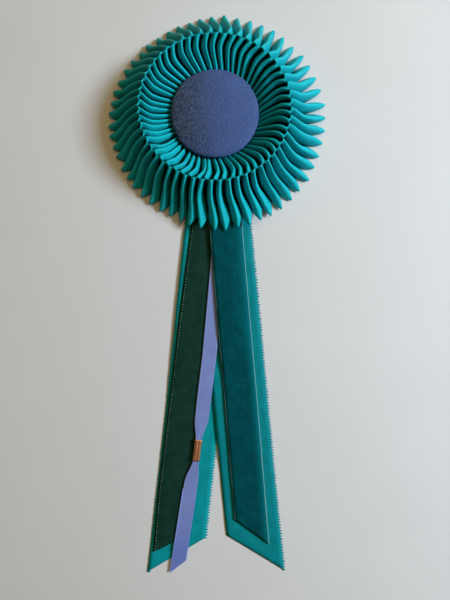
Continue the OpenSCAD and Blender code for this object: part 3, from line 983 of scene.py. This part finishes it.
@node_group("Geometry", "Row of loops",
            {"Line": "Geometry", "Pitch": 0.00187, "Size": (0.001, 0.001, 0.0005), "Unevenness": 0.15,
             "Seed": 3, "Thread": "Material"}, "Row")
def loops_tree(tree, ins):
    """A row of small rounded loops or stitches along an edge line."""
    curve = add(tree, "GeometryNodeMeshToCurve", {0: ins["Line"]})
    spaced = add(tree, "GeometryNodeResampleCurve", {"Curve": curve, "Length": ins["Pitch"]},
                 mode="LENGTH")
    ball = add(tree, "GeometryNodeMeshUVSphere", {"Segments": 6, "Rings": 4, "Radius": 0.5})
    shaped = add(tree, "GeometryNodeTransform", {"Geometry": ball, "Scale": ins["Size"]})
    facing = add(tree, "FunctionNodeAlignRotationToVector",
                 {"Vector": add(tree, "GeometryNodeInputTangent")}, axis="X")
    odd = add(tree, "FunctionNodeRandomValue", {2: -1.0, 3: 1.0, "Seed": ins["Seed"]},
              data_type="FLOAT")[1]
    row = add(tree, "GeometryNodeInstanceOnPoints",
              {"Points": spaced, "Instance": shaped, "Rotation": facing,
               "Scale": odd * ins["Unevenness"] + 1.0})
    return finished(row, ins["Thread"])


@node_group("Geometry", "Edge cord", {"Line": "Geometry", "Radius": 0.0003, "Thread": "Material"}, "Cord")
def cord_tree(tree, ins):
    """A thin round cord along an edge line."""
    curve = add(tree, "GeometryNodeMeshToCurve", {0: ins["Line"]})
    ring = add(tree, "GeometryNodeCurvePrimitiveCircle", {"Resolution": 6, "Radius": ins["Radius"]})
    tube = add(tree, "GeometryNodeCurveToMesh",
               {"Curve": curve, "Profile Curve": ring, "Fill Caps": True})
    return finished(tube, ins["Thread"])


def inset(points, by, up=0.0):
    """A line moved sideways (to +X) and up, in metres."""
    return [(p[0] + by, p[1], p[2] + up) for p in points]


def loops(name, points, pitch, material, node, size, seed=3, uneven=0.15):
    """A row of loops of that size (along the line, across it, up) on a line of points."""
    row = run_tree(edge_line(points), loops_tree(), {"Pitch": pitch, "Size": size, "Seed": seed,
                                                     "Unevenness": uneven, "Thread": material}, name)
    return dress(row, node)


def cord(name, points, radius, material, node):
    """A thin cord on a line of points."""
    row = run_tree(edge_line(points), cord_tree(), {"Radius": radius, "Thread": material}, name)
    return dress(row, node)


class ROSETTE_OT_tails(bpy.types.Operator):
    """Builds the two wide teal tails with their looped edges"""
    bl_idname = "rosette.tails"
    bl_label = "Wide tails"

    def execute(self, context):
        s = context.scene.rosette_ribbons
        # Painted light: the left tail's teal is 1.3 times that of the right tail, the same ribbon
        for name, plan, painted_light, seed, shape in (("left_tail", LEFT_TAIL, 1.3, 5, left_tail_rise),
                                              ("right_tail", RIGHT_TAIL, 1.0, 9, None)):
            words, colour = name.replace("_", " "), shaded(s.teal, painted_light)
            cloth = ribbed_cloth(words + " cloth", colour, rib_pitch=0.0007)
            sheet, edges = ribbon_sheet(name + "_cloth", plan, s.tail_width, s.thickness, 120, 14,
                                        shape=shape, waves=seed / 2)
            if name == "right_tail":
                # Its left edge has loops only where it lies on the left tail
                edges["left"] = [p for p in edges["left"] if p[1] > -0.214]
            dress(sheet, name, cloth)
            # Painted shade: the loops are a little darker than their tail, so their lit sides don't read
            # lighter
            loop_cloth = ribbed_cloth(words + " loops", shaded(colour, 0.95))
            rows = [loops(f"{name}_loops_{side}", inset(edges[side], by), s.picot_pitch, loop_cloth, name,
                          (0.0013, 0.0027, 0.0005), seed)
                    for side, by in (("left", 0.0006), ("right", 0.0001))]
            ["pin_back"] if name == "left_tail" else ["left_tail"]
        return {"FINISHED"}


class ROSETTE_OT_green(bpy.types.Operator):
    """Builds the dark green ribbon with its looped edges and stitch line"""
    bl_idname = "rosette.green"
    bl_label = "Green ribbon"

    def execute(self, context):
        s = context.scene.rosette_ribbons
        cloth = ribbed_cloth("Dark green ribbon cloth", s.green, rib_pitch=0.0009, depth=0.0002,
                             dark=0.6, light=1.35)
        sheet, edges = ribbon_sheet("green_cloth", GREEN, s.green_width, s.thickness, 110, 10,
                                    shape=green_sag, waves=2.2, bulge=1.6)
        dress(sheet, "green_ribbon", cloth)
        pale = ribbed_cloth("Pale green thread", (0.17, 0.34, 0.28))
        # Painted light: the edge loops are 3.2 times lighter than the green, against the shade along the
        # ribbon's edges
        lightened_loops = ribbed_cloth("Dark green loops", shaded(s.green, 3.2))
        rows = [loops(f"green_loops_{side}", edges[side], s.picot_pitch, lightened_loops, "green_ribbon",
                      (0.0011, 0.0011, 0.0003), 4) for side in ("left", "right")]
        stitch_line = inset(edges["left"], 0.0012, s.thickness / 2 + 0.00008)
        rows += [loops("green_stitches", stitch_line, s.picot_pitch, pale, "green_ribbon",
                       (0.0007, 0.0007, 0.0003), 6, 0.3)]
        return {"FINISHED"}


class ROSETTE_OT_velvet(bpy.types.Operator):
    """Builds the velvet ribbon with its woven edges"""
    bl_idname = "rosette.velvet"
    bl_label = "Velvet ribbon"

    def execute(self, context):
        s = context.scene.rosette_ribbons
        sheet, edges = ribbon_sheet("velvet_cloth", VELVET, s.velvet_width, s.thickness * 1.3, 110, 10,
                                    shape=velvet_sag, waves=2.7)
        dress(sheet, "velvet_ribbon", velvet_cloth(s.velvet, s.velvet_width))
        # Both edges are pale selvedge cords: the left one painted darker as shade, the right one lighter as
        # painted light
        rows = [cord(f"velvet_edge_{side}", edges[side], 0.00045, ribbed_cloth(f"Velvet edge {side}", tone),
                     "velvet_ribbon")
                for side, tone in (("left", (0.05, 0.13, 0.14)), ("right", (0.16, 0.36, 0.36)))]
        return {"FINISHED"}


class ROSETTE_OT_lavender(bpy.types.Operator):
    """Builds the lavender satin ribbon, gathered at its crimp"""
    bl_idname = "rosette.lavender"
    bl_label = "Lavender ribbon"

    def execute(self, context):
        s = context.scene.rosette_ribbons
        sheet, edges = ribbon_sheet("lavender_cloth", LAVENDER, s.lavender_width, s.thickness * 0.7,
                                    170, 12, shape=crimp_gathers, ripple=0.08)
        dress(sheet, "lavender_ribbon", satin_cloth(s.lavender, s.lavender_width))
        below_crimp = [p for p in edges["left"] if p[1] < -0.242]
        # Painted highlight: the rolled selvedge along the left edge below the crimp is 1.5 times lighter
        # than the satin
        row = cord("lavender_edge", below_crimp, 0.00035,
                   ribbed_cloth("Lavender edge", shaded(s.lavender, 1.5)), "lavender_ribbon")
        return {"FINISHED"}


# ---- Crimp and pin back

class ROSETTE_OT_crimp(bpy.types.Operator):
    """Builds the copper crimp, pressed flat with lengthwise dents"""
    bl_idname = "rosette.crimp"
    bl_label = "Copper crimp"

    def execute(self, context):
        s = context.scene.rosette_crimp
        wide, tall, square = s.width / MM / 2, 1.2, 5  # half sizes in mm, and how square it is
        top_x, top_y, turn = -11.1, -210.4, math.radians(7)
        around, stations = 72, 18
        points = []
        for i in range(stations + 1):
            q = i / stations
            off_middle = abs(2 * q - 1)
            pinch = 1 - 0.05 * math.sin(math.pi * q) ** 2
            y = -s.length / MM * q
            for k in range(around):
                a = FULL_TURN * k / around
                c, n = math.cos(a), math.sin(a)
                spread = abs(c) ** square / wide ** square + abs(n) ** square / tall ** square
                r = 1 / spread ** (1 / square)
                x, z = r * c * pinch, r * n
                if n > 0.3:
                    # Shallow dents side by side along the top, and one deeper crease
                    dent = (0.08 * (0.5 + 0.5 * math.cos(FULL_TURN * x / 1.55))
                            + 0.16 * math.exp(-((x - 0.1) / 0.2) ** 2))
                    z -= dent * (1 - 0.5 * off_middle ** 4)
                z += 0.06 * off_middle ** 8 if n > 0 else 0  # a thin lip at both ends
                points.append(((top_x + x * math.cos(turn) + y * math.sin(turn)) * MM,
                               (top_y - x * math.sin(turn) + y * math.cos(turn)) * MM,
                               (level(2) + tall + z) * MM))
        faces = [(i * around + k, i * around + (k + 1) % around, (i + 1) * around + (k + 1) % around,
                  (i + 1) * around + k) for i in range(stations) for k in range(around)]
        band = mesh_object("crimp_band", points, faces)
        thicken(band, 0.0004)
        copper = worn_metal("Rubbed copper", s.colour, 0.34, lines=(3.0, 0.15, 3.0), scratch=700.0,
                            dark=0.3, darker=0.45)
        dress(band, "copper_crimp", copper)
        return {"FINISHED"}


class ROSETTE_OT_pin_back(bpy.types.Operator):
    """Gives the hidden pin back its brushed steel"""
    bl_idname = "rosette.pin_back"
    bl_label = "Pin back"

    def execute(self, context):
        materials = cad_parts["pin_back"].data.materials
        materials.clear()
        materials.append(worn_metal("Brushed plated steel", (0.55, 0.55, 0.57), 0.32,
                                    lines=(1.0, 0.06, 1.0), scratch=1600.0, dark=0.3, darker=0.6))
        return {"FINISHED"}


# ---- Stage

VIEW_MIDDLE = Vector((0.00637, -0.118, 0.0))  # what the camera looks down on
WARM_ROOM, PALE_WALL = (1.0, 0.73, 0.32), (0.55, 0.55, 0.54)


class ROSETTE_OT_stage(bpy.types.Operator):
    """Builds the floor, the soft studio light and the camera over the rosette"""
    bl_idname = "rosette.stage"
    bl_label = "Stage"

    def execute(self, context):
        s = context.scene.rosette_stage
        scene = context.scene
        far = 3  # half the floor's size, m
        floor = mesh_object("floor", [(-far, -far, 0), (far, -far, 0), (far, far, 0), (-far, far, 0)],
                            [(0, 1, 2, 3)])
        paper, tree, shader = new_material("Pale floor", Roughness=0.75, Specular_IOR_Level=0.2)
        place = add(tree, "ShaderNodeTexCoord")["Object"]
        tone = effect(dye_group, place, Large=18.0, Small=300.0, Small_share=0.35)
        feed(shader.inputs["Base Color"], mix(tone, shaded(s.floor, 0.975), shaded(s.floor, 1.02)))
        floor.data.materials.append(paper)

        # The room lights the rosette warmly, and the camera sees a pale wall past the floor
        scene.world = bpy.data.worlds.new("Studio")
        scene.world.use_nodes = True
        tree = scene.world.node_tree
        room = tree.nodes["Background"]
        feed(room.inputs["Color"], WARM_ROOM)
        feed(room.inputs["Strength"], s.fill)
        seen = add(tree, "ShaderNodeMixShader", {
            0: add(tree, "ShaderNodeLightPath")["Is Camera Ray"], 1: Signal(room.outputs[0]),
            2: add(tree, "ShaderNodeBackground", {"Color": PALE_WALL})})
        feed(tree.nodes["World Output"].inputs["Surface"], seen)

        # Each lamp's direction round the rosette, its height angle, its distance and size in metres
        for name, degrees, height, distance, size, power, colour in (
                ("Key", 11, s.key_elevation, 1.1, 0.3, s.key, (0.68, 0.85, 1.0)),
                ("Overhead", 66, math.radians(62), 1.5, 1.3, s.overhead, (1.0, 0.77, 0.38))):
            lamp = bpy.data.lights.new(name, "AREA")
            lamp.shape, lamp.size, lamp.energy, lamp.color = "SQUARE", size, power, colour
            a = math.radians(degrees)
            away = Vector((math.cos(a) * math.cos(height), math.sin(a) * math.cos(height),
                           math.sin(height)))
            made = new_object(name, lamp)
            made.location = VIEW_MIDDLE + away * distance
            made.rotation_mode = "QUATERNION"
            made.rotation_quaternion = away.to_track_quat("Z", "Y")

        camera = bpy.data.cameras.new("Camera")
        camera.sensor_width, camera.lens = 36.0, s.lens
        camera.clip_start, camera.clip_end = 0.01, 20.0
        scene.camera = new_object("Camera", camera)
        scene.camera.location = VIEW_MIDDLE + Vector((0, 0, s.camera_height))
        scene.view_settings.view_transform = "Standard"
        return {"FINISHED"}


# ---- Panel and registration

class ROSETTE_PT_panel(bpy.types.Panel):
    """Lists the rosette's pieces in the sidebar"""
    bl_idname = "ROSETTE_PT_panel"
    bl_label = "Ribbon rosette"
    bl_space_type = "VIEW_3D"
    bl_region_type = "UI"
    bl_category = "Rosette"

    def draw(self, context):
        for operator in OPERATORS:
            self.layout.operator(operator.bl_idname)
        for group in SETTINGS:
            settings = getattr(context.scene, group)
            box = self.layout.box()
            for key in settings.__annotations__:
                box.prop(settings, key)


OPERATORS = (ROSETTE_OT_frill, ROSETTE_OT_button, ROSETTE_OT_tails, ROSETTE_OT_green,
             ROSETTE_OT_velvet, ROSETTE_OT_lavender, ROSETTE_OT_crimp, ROSETTE_OT_pin_back,
             ROSETTE_OT_stage)
SETTINGS = {"rosette_frill": FrillSettings, "rosette_button": ButtonSettings,
            "rosette_ribbons": RibbonSettings, "rosette_crimp": CrimpSettings,
            "rosette_stage": StageSettings}


def register():
    for group in (*SETTINGS.values(), *OPERATORS, ROSETTE_PT_panel):
        bpy.utils.register_class(group)
    for name, group in SETTINGS.items():
        setattr(bpy.types.Scene, name, bpy.props.PointerProperty(type=group))


def unregister():
    for name in SETTINGS:
        delattr(bpy.types.Scene, name)
    for group in (ROSETTE_PT_panel, *OPERATORS, *SETTINGS.values()):
        bpy.utils.unregister_class(group)


def main():
    register()
    for operator in ("frill", "button", "tails", "green", "velvet", "lavender", "crimp", "pin_back",
                     "stage"):
        getattr(bpy.ops.rosette, operator)()


if __name__ == "__main__":
    main()
